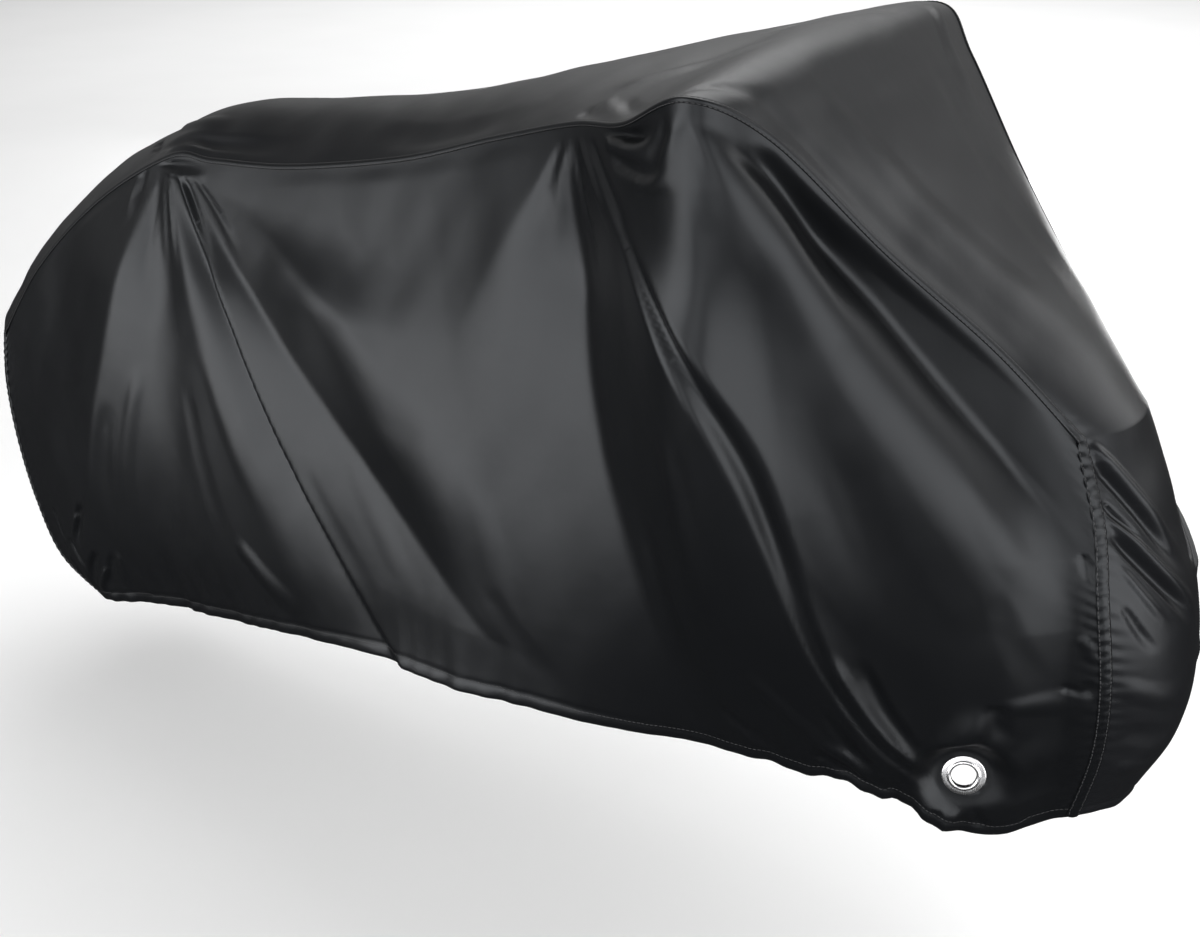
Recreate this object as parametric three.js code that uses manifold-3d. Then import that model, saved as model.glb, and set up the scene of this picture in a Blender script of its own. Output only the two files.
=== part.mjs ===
// A fitted motorcycle cover, worn: two side panels joined by seams to one panel that runs from the
// rear hem over the top to the front hem, and a lock eyelet set in each side near the front wheel.
// Millimetres. +X is the front, +Y the left side, +Z up. Heights in the tables are above the ground
// that the wheels stand on; the finished group is then lowered so that its origin is under the top.
import * as THREE from 'three';
import { mergeVertices } from 'three/addons/utils/BufferGeometryUtils.js';
import Module from 'manifold-3d';

// ---- Driving sizes -----------------------------------------------------------------------------
const THICKNESS = 2; // of a cloth panel
const SEAM_GAP = 0.4; // between two panels along their seam
const CELLS = { along: 56, down: 13, across: 6 }; // facets of the panels
const EDGE_SOFTNESS = { top: 0.05, ends: 0.07 }; // share of a side panel over which its folds fade in
const SADDLE = { x: 50, z: 1146 }; // underside of the top, where the machine carries the cover

const EYELET = {
  x: 884, half: 152, z: 394, // centre of the hole on the right side
  turn: 20, tilt: 8, // degrees that its axis turns forward and leans up from sideways
  hole: 32, barrel: 36, flange: 56, // diameters
  flangeHeight: 1.6, lip: 42, lipHeight: 3.2, // of the face; the lip is the rolled rim round the hole
  washer: 54, washerThickness: 1.2, clearance: 0.3,
  flat: 104, blend: 36, // radius of cloth pressed flat, and the width over which it eases back
};

// Each panel is made in lengths, so that its collision follows it closely. A length runs from one row
// of the panel's grid to another: a side panel's rows are counted from the tail, and the centre
// panel's from the rear hem. The piece of cloth that holds an eyelet is cut out of the front length,
// from the row top of the side panel, counted from the seam, down to the hem.
const CUT_GAP = 0.7; // between two such pieces
const SIDE_LENGTHS = [
  { name: 'rear', from: 0, to: 18 }, { name: 'middle', from: 18, to: 36 }, { name: 'front', from: 36, to: 56 },
];
const CENTRE_LENGTHS = [
  { name: 'rear', from: 0, to: 15 }, { name: 'saddle', from: 15, to: 44 }, { name: 'tank', from: 44, to: 53 },
  { name: 'fairing', from: 53, to: 67 }, { name: 'front', from: 67, to: 82 },
];
const PATCH = { from: 49, to: 54, top: 9 };

// Makes rows of named values from a line of column names and rows of numbers.
function table(columns, rows) {
  const names = columns.split(' ');
  return rows.map((row) => Object.fromEntries(names.map((name, i) => [name, row[i]])));
}

// ---- Cross-sections ----------------------------------------------------------------------------
// A row is one section of the cover, from the tail to the nose. x, half, z: the right seam, half the
// width there and its height. crownX, crownZ: how far the middle of the top lies from the seams.
// hemX, hemHalf, hemZ: the hem of that section. belly: how far the side stands out at mid height.
// leftX, leftHalf, leftZ: how the left seam differs from the right one.
const SECTIONS = table('x half z crownX crownZ hemX hemHalf hemZ belly leftX leftHalf leftZ', [
  [-930, 120, 640, -72, 22, -800, 112, 130, 8, 0, 4, 0], // tail
  [-800, 123, 785, -52, 30, -715, 142, 160, 14, -5, 2, 6],
  [-620, 128, 925, -26, 40, -600, 160, 195, 20, -8, -4, 8],
  [-430, 138, 1023, -8, 44, -470, 180, 228, 26, -6, -14, 0], // rear end of the saddle
  [-330, 146, 1030, 0, 70, -300, 203, 266, 22, 0, -14, -8],
  [-170, 158, 1044, 0, 73, -135, 230, 308, 10, 0, -12, -8],
  [50, 180, 1087, 0, 64, 30, 268, 348, -8, 0, -8, -6],
  [220, 206, 1139, 0, 53, 180, 298, 367, -12, 0, -2, 2],
  [365, 250, 1182, 0, 40, 330, 308, 386, 0, -4, 6, 14], // front of the tank
  [470, 318, 1206, 4, 33, 465, 304, 390, 12, -8, 12, 24],
  [588, 398, 1258, 8, 20, 590, 278, 382, 20, -16, 2, -4], // handlebar end
  [652, 325, 1212, 14, 10, 690, 243, 374, 22, -10, 20, -16],
  [751, 236, 1086, 24, 14, 790, 200, 358, 16, -4, 31, -12],
  [862, 160, 970, 34, 14, 905, 134, 298, 8, -2, 20, -12],
  [955, 112, 864, 46, 6, 1012, 86, 336, 4, -2, 18, -18], // nose
]);

// The seam from the tail down to the rear hem, and from the nose down to the front hem. crownX and
// crownZ are again the middle of the centre panel, which is rounder than a straight line across.
const TAIL_SEAM = table('x half z crownX crownZ leftX leftHalf leftZ', [
  [-930, 120, 640, -72, 22, 0, 4, 0],
  [-944, 121, 545, -74, 6, 0, 2, 0],
  [-938, 122, 430, -62, 0, 4, 0, 0],
  [-915, 122, 303, -48, 0, 4, 0, 0],
  [-880, 118, 195, -40, -4, 2, 0, 0],
  [-800, 112, 130, -42, -10, 0, 0, 0],
]);
const NOSE_SEAM = table('x half z crownX crownZ leftX leftHalf leftZ', [
  [955, 112, 864, 46, 6, -2, 18, -18],
  [993, 124, 770, 60, -24, -4, 14, -14],
  [1014, 138, 680, 80, -28, -2, 4, -8],
  [1032, 132, 565, 78, -12, 0, 2, 0],
  [1032, 112, 455, 72, -2, 0, 0, 0],
  [1012, 86, 336, 52, 4, 0, 0, 0],
]);

// ---- Folds -------------------------------------------------------------------------------------
// A row is one crease: a line down a side panel that passes, seen from the side, through its four
// points. height: how far the cloth stands out along it, or in if negative. end: the share of that
// height left at its foot. round: the radius over which the cloth turns there. From crease to crease
// the cloth runs straight, so that a fold is a crest between two valleys.
const CREASE_COLUMNS = 'x0 z0 x1 z1 x2 z2 x3 z3 height end round';
const RIGHT_CREASES = table(CREASE_COLUMNS, [
  [-640, 960, -760, 725, -860, 485, -935, 250, 0, 1, 60],
  [-463, 1000, -545, 740, -650, 475, -775, 215, 30, 0.5, 8],
  [-450, 1002, -430, 740, -460, 475, -540, 215, -2, 1, 40],
  [-430, 1003, -330, 780, -225, 560, -110, 335, 12, 0.6, 30],
  [-419, 1003, -290, 815, -150, 600, 60, 352, -10, 0.4, 10],
  [-405, 1003, -268, 815, -128, 600, 84, 355, 22, 0.4, 9],
  [-383, 1001, -225, 850, 0, 660, 255, 470, 4, 0.2, 12],
  [-300, 990, 10, 820, 185, 650, 290, 455, 34, 0.1, 80],
  [355, 1168, 250, 910, 245, 655, 330, 400, 8, 0, 50],
  [368, 1174, 366, 1000, 430, 780, 575, 410, -40, 0.6, 12],
  [381, 1175, 592, 960, 678, 750, 846, 385, 12, 0.6, 9],
  [386, 1174, 625, 926, 696, 720, 852, 385, -6, 1, 9],
  [392, 1172, 641, 926, 706, 720, 858, 385, 10, 0.8, 9],
  [600, 1172, 655, 1000, 712, 820, 868, 410, -9, 0.6, 45],
  [592, 1250, 690, 1070, 804, 885, 954, 640, 27, 0.5, 40],
  [640, 1200, 750, 1038, 850, 905, 1000, 730, -27, 0.9, 10],
  [660, 1200, 802, 1032, 906, 914, 1020, 770, 2, 0, 10],
]);
const LEFT_CREASES = table(CREASE_COLUMNS, [
  [-640, 960, -760, 725, -860, 485, -935, 250, 0, 1, 60],
  [-460, 1000, -560, 740, -670, 475, -780, 215, 28, 0.5, 10],
  [-445, 1002, -430, 740, -450, 475, -500, 215, -4, 1, 40],
  [-410, 1003, -285, 790, -120, 575, 90, 359, 16, 0.7, 8],
  [-383, 1001, -150, 815, 65, 635, 280, 450, -30, 0.4, 12],
  [-320, 990, 35, 815, 250, 645, 330, 470, 0, 0, 60],
  [355, 1168, 285, 910, 300, 655, 400, 400, 6, 0, 50],
  [368, 1174, 415, 920, 470, 665, 530, 410, -36, 0.6, 16],
  [385, 1175, 575, 915, 725, 650, 830, 390, 12, 0.6, 8],
  [540, 1172, 670, 920, 780, 670, 875, 420, -22, 0.4, 45],
  [595, 1240, 745, 1010, 870, 780, 970, 550, 42, 0.3, 50],
  [650, 1180, 780, 1000, 900, 820, 1000, 640, -22, 0.4, 12],
  [675, 1175, 835, 995, 945, 820, 1015, 640, 0, 0, 10],
]);
const CREASE_OPEN = 0.25; // share of a crease's length over which it rises to its height
const CREASE_GAP = 6; // least distance between two creases, where they run together
const FACET_ROUND = 20; // least radius of a crease that the facets can follow

// ---- Smooth steps and curves -------------------------------------------------------------------
const lerp = (a, b, t) => a + (b - a) * t;
const smooth = (t) => THREE.MathUtils.smoothstep(t, 0, 1);

// The row between two rows of a table, with every column on a Catmull-Rom curve; t runs from 0 to 1.
function rowAt(rows, t) {
  const place = t * (rows.length - 1);
  const i = Math.min(Math.floor(place), rows.length - 2);
  const f = place - i;
  const before = rows[Math.max(i - 1, 0)];
  const after = rows[Math.min(i + 2, rows.length - 1)];
  const mixed = {};
  for (const name of Object.keys(rows[0])) {
    const [a, b] = [rows[i][name], rows[i + 1][name]];
    const inSlope = (b - before[name]) / 2;
    const outSlope = (after[name] - a) / 2;
    mixed[name] = a + f * inSlope + f * f * (3 * (b - a) - 2 * inSlope - outSlope)
      + f * f * f * (2 * (a - b) + inSlope + outSlope);
  }
  return mixed;
}

// The point of a seam row on one side of the cover, as if that side were the right one (y negative).
function seamPoint(row, left) {
  return new THREE.Vector3(
    row.x + left * row.leftX,
    -(row.half + left * row.leftHalf),
    row.z + left * row.leftZ,
  );
}
const hemPoint = (row) => new THREE.Vector3(row.hemX, -row.hemHalf, row.hemZ);

// The x of a crease at a height z: the cubic through its four points.
function creasePlace(crease, z) {
  const points = [0, 1, 2, 3].map((i) => ({ x: crease[`x${i}`], z: crease[`z${i}`] }));
  return points.reduce((sum, point) => {
    const others = points.filter((other) => other !== point);
    return sum + others.reduce((part, other) => (part * (z - other.z)) / (point.z - other.z), point.x);
  }, 0);
}

// How far the folds lift the cloth at the side-view point x, z: on that level, the chain of straight
// lines between the creases' heights, with every corner rounded by a parabola.
function foldHeight(creases, x, z) {
  const chain = [];
  for (const crease of creases) {
    const level = THREE.MathUtils.clamp(z, crease.z3, crease.z0);
    const t = (crease.z0 - level) / (crease.z0 - crease.z3);
    const share = smooth(t / CREASE_OPEN) * lerp(1, crease.end, smooth(2 * t - 1));
    const least = chain.length > 0 ? chain.at(-1).place + CREASE_GAP : -Infinity;
    const place = Math.max(creasePlace(crease, level), least);
    chain.push({ place, height: crease.height * share, round: Math.max(crease.round, FACET_ROUND) });
  }
  let [total, slope] = [chain[0].height, 0];
  chain.forEach(({ place, height, round }, i) => {
    const next = chain[i + 1];
    const ahead = next ? (next.height - height) / (next.place - place) : 0;
    const near = THREE.MathUtils.clamp((x - place + round) / (2 * round), 0, 1);
    total += (ahead - slope) * (round * near * near + Math.max(0, x - place - round));
    slope = ahead;
  });
  return total;
}

// ---- Grids of points ---------------------------------------------------------------------------
// Outward unit normals of a grid of points, from the two directions across each point.
function gridNormals(grid, sign) {
  const last = [grid.length - 1, grid[0].length - 1];
  return grid.map((line, i) => line.map((_, j) => {
    const across = grid[Math.min(i + 1, last[0])][j].clone().sub(grid[Math.max(i - 1, 0)][j]);
    const down = line[Math.min(j + 1, last[1])].clone().sub(line[Math.max(j - 1, 0)]);
    return across.cross(down).multiplyScalar(sign).normalize();
  }));
}

const eyeletCentre = new THREE.Vector3(EYELET.x, -EYELET.half, EYELET.z);
const eyeletAxis = new THREE.Vector3().setFromSphericalCoords(
  1,
  THREE.MathUtils.degToRad(90 - EYELET.tilt),
  THREE.MathUtils.degToRad(EYELET.turn),
).applyAxisAngle(new THREE.Vector3(1, 0, 0), Math.PI / 2);

// Presses the cloth round the eyelet onto the eyelet's plane.
function pressFlat(point) {
  const offset = point.clone().sub(eyeletCentre);
  const depth = offset.dot(eyeletAxis);
  const radius = Math.sqrt(Math.max(0, offset.lengthSq() - depth * depth));
  const share = 1 - smooth((radius - EYELET.flat) / EYELET.blend);
  point.addScaledVector(eyeletAxis, -depth * share);
}

// One side panel as a grid of points, u from tail to nose and v from seam to hem, made as a right
// side. Its four edges are blended into a patch, which swells by the belly and then takes the folds.
function sideGrid(creases, left) {
  const top = (u) => seamPoint(rowAt(SECTIONS, u), left);
  const hem = (u) => hemPoint(rowAt(SECTIONS, u));
  const tail = (v) => seamPoint(rowAt(TAIL_SEAM, v), left);
  const nose = (v) => seamPoint(rowAt(NOSE_SEAM, v), left);
  const grid = [];
  for (let i = 0; i <= CELLS.along; i += 1) {
    const u = i / CELLS.along;
    const line = [];
    for (let j = 0; j <= CELLS.down; j += 1) {
      const v = j / CELLS.down;
      const lengthwise = tail(v).lerp(nose(v), u);
      const downwards = top(u).lerp(hem(u), v);
      const corners = tail(0).lerp(nose(0), u).lerp(tail(1).lerp(nose(1), u), v);
      const point = lengthwise.add(downwards).sub(corners);
      point.y -= rowAt(SECTIONS, u).belly * Math.sin(Math.PI * v);
      line.push(point);
    }
    grid.push(line);
  }
  const outward = gridNormals(grid, -1);
  return grid.map((line, i) => line.map((point, j) => {
    const [u, v] = [i / CELLS.along, j / CELLS.down];
    const ends = Math.min(u, 1 - u) / EDGE_SOFTNESS.ends;
    const fade = smooth(Math.min(v / EDGE_SOFTNESS.top, ends));
    const height = foldHeight(creases, point.x, point.z);
    const moved = point.clone().addScaledVector(outward[i][j], fade * height);
    if (fade > 0) pressFlat(moved);
    return moved;
  }));
}

// The seam that bounds a side panel, from the rear hem over the top to the front hem.
function seamOf(grid) {
  const [along, down] = [CELLS.along, CELLS.down];
  const up = grid[0].slice().reverse();
  const over = grid.slice(1, along).map((line) => line[0]);
  return [...up, ...over, ...grid[along].slice(0, down + 1)];
}

// The middle line's distance from the seams at each point of the seam.
function crowns() {
  const list = [];
  for (let j = CELLS.down; j > 0; j -= 1) list.push(rowAt(TAIL_SEAM, j / CELLS.down));
  for (let i = 0; i < CELLS.along; i += 1) list.push(rowAt(SECTIONS, i / CELLS.along));
  for (let j = 0; j <= CELLS.down; j += 1) list.push(rowAt(NOSE_SEAM, j / CELLS.down));
  return list.map((row) => new THREE.Vector3(row.crownX, 0, row.crownZ));
}

// The centre panel as a grid: a row for each point of the seams, arched between right and left.
const CROWN_POWER = 2.3; // 2 is a plain arch, and more is flatter in the middle
function centreGrid(rightSeam, leftSeam) {
  const rises = crowns();
  return rightSeam.map((right, k) => {
    const line = [];
    for (let j = 0; j <= CELLS.across; j += 1) {
      const t = (2 * j) / CELLS.across - 1;
      const arch = 1 - Math.abs(t) ** CROWN_POWER;
      line.push(right.clone().lerp(leftSeam[k], j / CELLS.across).addScaledVector(rises[k], arch));
    }
    return line;
  });
}

// ---- Sheets of cloth ---------------------------------------------------------------------------
// Where two panels meet, both edges are cut along one plane: the seam's own line and the direction
// half way between the panels' normals. Returns, for each point of the seam, that direction and the
// one that leads into the side panel.
function seamFrames(seam, sideNormals, centreNormals) {
  return seam.map((_, k) => {
    const run = seam[Math.min(k + 1, seam.length - 1)].clone().sub(seam[Math.max(k - 1, 0)]).normalize();
    const out = sideNormals[k].clone().add(centreNormals[k]);
    out.addScaledVector(run, -out.dot(run)).normalize();
    const depth = THICKNESS / Math.max(0.6, out.dot(sideNormals[k]));
    return { out, depth, side: run.clone().cross(out) };
  });
}

// Joins an outer and an inner grid into one closed body. Both have the same rows and columns. Only the
// cells for which has(i, j) holds are made, and a wall closes each of their free edges.
const allCells = () => true;
function closedSheet(outer, inner, flip, has = allCells) {
  const [rows, columns] = [outer.length - 1, outer[0].length - 1];
  const positions = [...outer.flat(), ...inner.flat()].flatMap((point) => point.toArray());
  const shift = positions.length / 6;
  const at = (i, j) => i * (columns + 1) + j;
  const made = (i, j) => i >= 0 && j >= 0 && i < rows && j < columns && has(i, j);
  const faces = [];
  const quad = (a, b, c, d) => faces.push(...(flip ? [a, c, b, a, d, c] : [a, b, c, a, c, d]));
  const wall = (a, b) => quad(a, a + shift, b + shift, b);
  for (let i = 0; i < rows; i += 1) {
    for (let j = 0; j < columns; j += 1) {
      if (made(i, j)) {
        const [a, b, c, d] = [at(i, j), at(i + 1, j), at(i + 1, j + 1), at(i, j + 1)];
        quad(a, b, c, d);
        quad(a + shift, d + shift, c + shift, b + shift);
        if (!made(i, j - 1)) wall(a, b);
        if (!made(i + 1, j)) wall(b, c);
        if (!made(i, j + 1)) wall(c, d);
        if (!made(i - 1, j)) wall(d, a);
      }
    }
  }
  const geometry = new THREE.BufferGeometry();
  geometry.setAttribute('position', new THREE.Float32BufferAttribute(positions, 3));
  geometry.setIndex(faces);
  return geometry;
}

const mirrored = (grid) => grid.map((line) => line.map((p) => new THREE.Vector3(p.x, -p.y, p.z)));

// The place in a side panel's grid of each point of its seam.
function seamPlaces() {
  const places = [];
  for (let j = CELLS.down; j > 0; j -= 1) places.push([0, j]);
  for (let i = 0; i < CELLS.along; i += 1) places.push([i, 0]);
  for (let j = 0; j <= CELLS.down; j += 1) places.push([CELLS.along, j]);
  return places;
}

const offsetInwards = (grid, normals) => grid.map((line, i) => (
  line.map((point, j) => point.clone().addScaledVector(normals[i][j], -THICKNESS))));

// Trims a side panel and the matching edge of the centre panel to their common seam.
function trimSeam(side, centre, column, handed) {
  const places = seamPlaces();
  const seam = places.map(([i, j]) => side.outer[i][j].clone());
  const frames = seamFrames(
    seam,
    places.map(([i, j]) => side.normals[i][j]),
    centre.normals.map((line) => line[column]),
  );
  frames.forEach(({ out, depth, side: into }, k) => {
    const [i, j] = places[k];
    const step = (handed * SEAM_GAP) / 2;
    side.outer[i][j] = seam[k].clone().addScaledVector(into, step);
    side.inner[i][j] = side.outer[i][j].clone().addScaledVector(out, -depth);
    centre.outer[k][column] = seam[k].clone().addScaledVector(into, -step);
    centre.inner[k][column] = centre.outer[k][column].clone().addScaledVector(out, -depth);
  });
}

function sheetOf(grid, sign) {
  const normals = gridNormals(grid, sign);
  return { outer: grid, normals, inner: offsetInwards(grid, normals) };
}

// ---- Eyelets -----------------------------------------------------------------------------------
const wasm = await Module();
wasm.setup();

// A closed geometry as a solid of the boolean library, and back again.
function solidOf(geometry) {
  const bare = geometry.clone();
  bare.deleteAttribute('normal');
  bare.deleteAttribute('uv');
  const merged = mergeVertices(bare);
  return new wasm.Manifold(new wasm.Mesh({
    numProp: 3,
    vertProperties: Float32Array.from(merged.attributes.position.array),
    triVerts: Uint32Array.from(merged.index.array),
  }));
}
function geometryOf(solid) {
  const mesh = solid.getMesh();
  const geometry = new THREE.BufferGeometry();
  geometry.setAttribute('position', new THREE.Float32BufferAttribute(mesh.vertProperties, 3));
  geometry.setIndex([...mesh.triVerts]);
  return geometry;
}

const EYELET_FACETS = 32;
// A ring turned from its section: pairs of diameter and height, in order round the section.
const ring = (section) => {
  const points = section.map(([diameter, height]) => new THREE.Vector2(diameter / 2, height));
  return new THREE.LatheGeometry([...points, points[0]].reverse(), EYELET_FACETS);
};
// Turns a geometry made round the Y axis so that it stands on one side's eyelet axis.
function setInCloth(geometry, sideSign) {
  const axis = new THREE.Vector3(eyeletAxis.x, eyeletAxis.y * -sideSign, eyeletAxis.z);
  const centre = new THREE.Vector3(eyeletCentre.x, eyeletCentre.y * -sideSign, eyeletCentre.z);
  const turn = new THREE.Quaternion().setFromUnitVectors(new THREE.Vector3(0, 1, 0), axis);
  return geometry.applyQuaternion(turn).translate(...centre.toArray());
}

// The face and barrel of an eyelet: a flat flange outside the cloth, the rolled lip round the hole,
// and the barrel through cloth and washer, spread over the washer's inner edge.
function eyeletGeometry() {
  const e = EYELET;
  const back = -THICKNESS - e.clearance * 2 - e.washerThickness;
  return ring([
    [e.hole, back - 1], [e.hole, e.lipHeight - 1], [e.hole + 3, e.lipHeight], [e.lip - 3, e.lipHeight],
    [e.lip, e.flangeHeight], [e.flange - 2, e.flangeHeight], [e.flange, e.flangeHeight - 0.7],
    [e.flange, e.clearance], [e.barrel, e.clearance], [e.barrel, back - e.clearance],
    [e.barrel + 4, back - e.clearance], [e.barrel + 3, back - 1.4], [e.hole + 2, back - 1.6],
  ]);
}
function washerGeometry() {
  const e = EYELET;
  const front = -THICKNESS - e.clearance;
  const inner = e.barrel + 2 * e.clearance;
  return ring([
    [inner, front - e.washerThickness], [inner, front], [e.washer, front],
    [e.washer, front - e.washerThickness],
  ]);
}
// What is cut out of the cloth for the barrel.
function holeGeometry(sideSign) {
  const radius = EYELET.barrel / 2 + EYELET.clearance;
  return setInCloth(new THREE.CylinderGeometry(radius, radius, 10 * THICKNESS, EYELET_FACETS), sideSign);
}

// ---- The cover ---------------------------------------------------------------------------------
const cloth = new THREE.MeshStandardMaterial({ color: 0x3b3c3e, roughness: 0.5, metalness: 0 });
const centreCloth = new THREE.MeshStandardMaterial({ color: 0x404144, roughness: 0.5, metalness: 0 });
const steel = new THREE.MeshStandardMaterial({ color: 0xc9cbcd, roughness: 0.25, metalness: 1 });
const cover = new THREE.Group();

function add(name, geometry, material) {
  geometry.computeVertexNormals();
  const mesh = new THREE.Mesh(geometry, material);
  mesh.name = name;
  mesh.position.set(-SADDLE.x, 0, -SADDLE.z);
  cover.add(mesh);
}

// A point moved towards a neighbour by the gap between two pieces.
const inset = (point, next) => point.clone().lerp(next, CUT_GAP / point.distanceTo(next));

// Some of a grid's rows, drawn in by the gap where the grid goes on.
function lengthOf(grid, { from, to }) {
  const rows = grid.slice(from, to + 1).map((line) => [...line]);
  const last = rows.length - 1;
  if (from > 0) rows[0] = rows[0].map((point, j) => inset(point, rows[1][j]));
  if (to < grid.length - 1) rows[last] = rows[last].map((point, j) => inset(point, rows[last - 1][j]));
  return rows;
}
const patchOf = (grid) => lengthOf(grid, PATCH).map((line) => {
  const [first, ...rest] = line.slice(PATCH.top);
  return [inset(first, rest[0]), ...rest];
});
const inPatch = (i, j) => i >= PATCH.from && i < PATCH.to && j >= PATCH.top;

const rightGrid = sideGrid(RIGHT_CREASES, 0);
const leftGrid = mirrored(sideGrid(LEFT_CREASES, 1));
const right = sheetOf(rightGrid, -1);
const left = sheetOf(leftGrid, 1);
const centre = sheetOf(centreGrid(seamOf(rightGrid), seamOf(leftGrid)), 1);
trimSeam(right, centre, 0, 1);
trimSeam(left, centre, CELLS.across, -1);

for (const length of CENTRE_LENGTHS) {
  const [outer, inner] = [lengthOf(centre.outer, length), lengthOf(centre.inner, length)];
  add(`center_panel_${length.name}`, closedSheet(outer, inner, false), centreCloth);
}
for (const [name, sheet, sideSign] of [['right', right, -1], ['left', left, 1]]) {
  const flip = sideSign < 0;
  for (const length of SIDE_LENGTHS) {
    const [outer, inner] = [lengthOf(sheet.outer, length), lengthOf(sheet.inner, length)];
    const panel = closedSheet(outer, inner, flip, (i, j) => !inPatch(i + length.from, j));
    add(`side_panel_${name}_${length.name}`, geometryOf(solidOf(panel)), cloth);
  }
  const patch = solidOf(closedSheet(patchOf(sheet.outer), patchOf(sheet.inner), flip));
  add(`eyelet_patch_${name}`, geometryOf(patch.subtract(solidOf(holeGeometry(sideSign)))), cloth);
  add(`eyelet_${name}`, setInCloth(eyeletGeometry(), sideSign), steel);
  add(`eyelet_washer_${name}`, setInCloth(washerGeometry(), sideSign), steel);
}

export default cover;
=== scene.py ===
"""A worn motorcycle cover: two side cloths of coated polyester sewn to one long cloth that runs from
the rear hem over the top to the front hem, with felled seams, a gathered hem and a lock eyelet on
each side. Every cloth is a thin sheet, drawn in numpy as a function on a grid. Its large shape comes
from the same sections and creases as the frame's solids; wrinkles, gathers, puckers and stitches are
laid on top of it. The cloths' base colours and gloss are set far below real polyester's, for this
stage's strong lamps, and should be raised under ordinary light."""
import functools
import math

import bpy
import numpy as np
from bpy.props import FloatProperty, FloatVectorProperty, PointerProperty
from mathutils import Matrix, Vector


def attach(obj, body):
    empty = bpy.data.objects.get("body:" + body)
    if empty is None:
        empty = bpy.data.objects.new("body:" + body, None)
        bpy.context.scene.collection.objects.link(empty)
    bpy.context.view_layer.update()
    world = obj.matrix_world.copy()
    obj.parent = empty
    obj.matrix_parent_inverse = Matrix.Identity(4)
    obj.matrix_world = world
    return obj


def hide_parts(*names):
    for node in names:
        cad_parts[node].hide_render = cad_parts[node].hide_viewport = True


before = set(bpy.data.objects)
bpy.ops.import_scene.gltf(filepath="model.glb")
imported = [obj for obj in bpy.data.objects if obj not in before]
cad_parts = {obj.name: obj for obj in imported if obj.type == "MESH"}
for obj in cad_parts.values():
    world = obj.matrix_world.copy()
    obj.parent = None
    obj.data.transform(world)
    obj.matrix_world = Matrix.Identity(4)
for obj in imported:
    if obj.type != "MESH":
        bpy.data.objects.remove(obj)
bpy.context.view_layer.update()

bl_info = {
    "name": "Motorcycle Cover",
    "version": (1, 0, 0),
    "blender": (4, 5, 0),
    "location": "3D View > Sidebar > Cover",
    "description": "Builds a worn motorcycle cover with its folds, seams, hem and lock eyelets",
    "category": "Add Mesh",
}

# ---- Sizes and places ----------------------------------------------------------------------------
# The tables are in millimetres, with heights above the ground that the wheels stand on. The finished
# points are then turned into metres from the frame's origin.
MM = 0.001
SADDLE_X, SADDLE_Z = 0.050, 1.146  # the frame's origin in the tables' coordinates
ORIGIN = np.array([SADDLE_X, 0.0, SADDLE_Z])
CELLS_ALONG, CELLS_DOWN, CELLS_ACROSS = 280, 164, 72  # fineness of the cloths


def table(columns, *rows):
    """Rows of numbers as a dictionary with one array for each named column."""
    return dict(zip(columns.split(), np.array(rows, float).T))


# A row is one section of the cover, from the tail to the nose. x, half, z: the right seam, half the
# width there and its height. crownX, crownZ: how far the middle of the top lies from the seams.
# hemX, hemHalf, hemZ: the hem. belly: how far the side stands out at mid height. leftX, leftHalf,
# leftZ: how the left seam differs from the right one.
SECTIONS = table(
    "x half z crownX crownZ hemX hemHalf hemZ belly leftX leftHalf leftZ",
    (-930, 120, 640, -72, 22, -800, 112, 130, 8, 0, 4, 0),
    (-800, 123, 785, -52, 30, -715, 142, 160, 14, -5, 2, 6),
    (-620, 128, 925, -26, 40, -600, 160, 195, 20, -8, -4, 8),
    (-430, 138, 1023, -8, 44, -470, 180, 228, 26, -6, -14, 0),
    (-330, 146, 1030, 0, 70, -300, 203, 266, 22, 0, -14, -8),
    (-170, 158, 1044, 0, 73, -135, 230, 308, 10, 0, -12, -8),
    (50, 180, 1087, 0, 64, 30, 268, 348, -8, 0, -8, -6),
    (220, 206, 1139, 0, 53, 180, 298, 367, -12, 0, -2, 2),
    (365, 250, 1182, 0, 40, 330, 308, 386, 0, -4, 6, 14),
    (470, 318, 1206, 4, 33, 465, 304, 390, 12, -8, 12, 24),
    (588, 398, 1258, 8, 20, 590, 278, 382, 20, -16, 2, -4),
    (652, 325, 1212, 14, 10, 690, 243, 374, 22, -10, 20, -16),
    (751, 236, 1086, 24, 14, 790, 200, 358, 16, -4, 31, -12),
    (862, 160, 970, 34, 14, 905, 134, 298, 8, -2, 20, -12),
    (955, 112, 864, 46, 6, 1012, 86, 336, 4, -2, 18, -18),
)
TAIL_SEAM = table(
    "x half z crownX crownZ leftX leftHalf leftZ",
    (-930, 120, 640, -72, 22, 0, 4, 0),
    (-944, 121, 545, -74, 6, 0, 2, 0),
    (-938, 122, 430, -62, 0, 4, 0, 0),
    (-915, 122, 303, -48, 0, 4, 0, 0),
    (-880, 118, 195, -40, -4, 2, 0, 0),
    (-800, 112, 130, -42, -10, 0, 0, 0),
)
NOSE_SEAM = table(
    "x half z crownX crownZ leftX leftHalf leftZ",
    (955, 112, 864, 46, 6, -2, 18, -18),
    (993, 124, 770, 60, -24, -4, 14, -14),
    (1014, 138, 680, 80, -28, -2, 4, -8),
    (1032, 132, 565, 78, -12, 0, 2, 0),
    (1032, 112, 455, 72, -2, 0, 0, 0),
    (1012, 86, 336, 52, 4, 0, 0, 0),
)
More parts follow.
